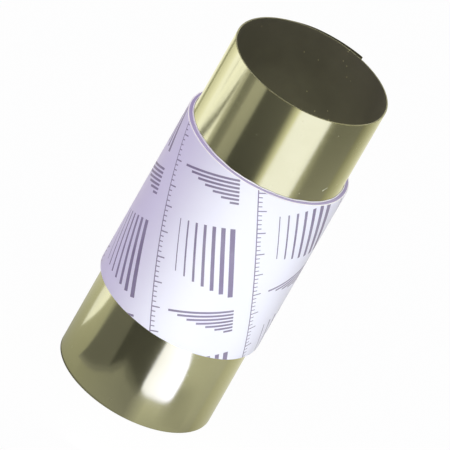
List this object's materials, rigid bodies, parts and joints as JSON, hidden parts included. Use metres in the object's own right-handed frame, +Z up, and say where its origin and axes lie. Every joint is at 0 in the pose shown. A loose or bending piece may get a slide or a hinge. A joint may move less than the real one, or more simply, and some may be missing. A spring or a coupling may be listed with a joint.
{
  "type": "shim stock roll",
  "caption": "Thin brass shim strip wound into an open coil with its outer end sprung free, held by a paperboard sleeve round its middle; stands on its end.",
  "frame": {"origin": "middle of the coil's lower end, on the coil's axis", "axes": "+Z up along the coil's axis; -Y towards the side that the picture shows; +X to that view's right"},
  "size_m": [0.0684, 0.0684, 0.1524],
  "materials": {
    "brass_strip": "bright cold-rolled strip, mirror-like with fine rolling lines",
    "paperboard": null
  },
  "bodies": {
    "root": {"shim_coil": "brass_strip", "sleeve": "paperboard"}
  },
  "joints": []
}
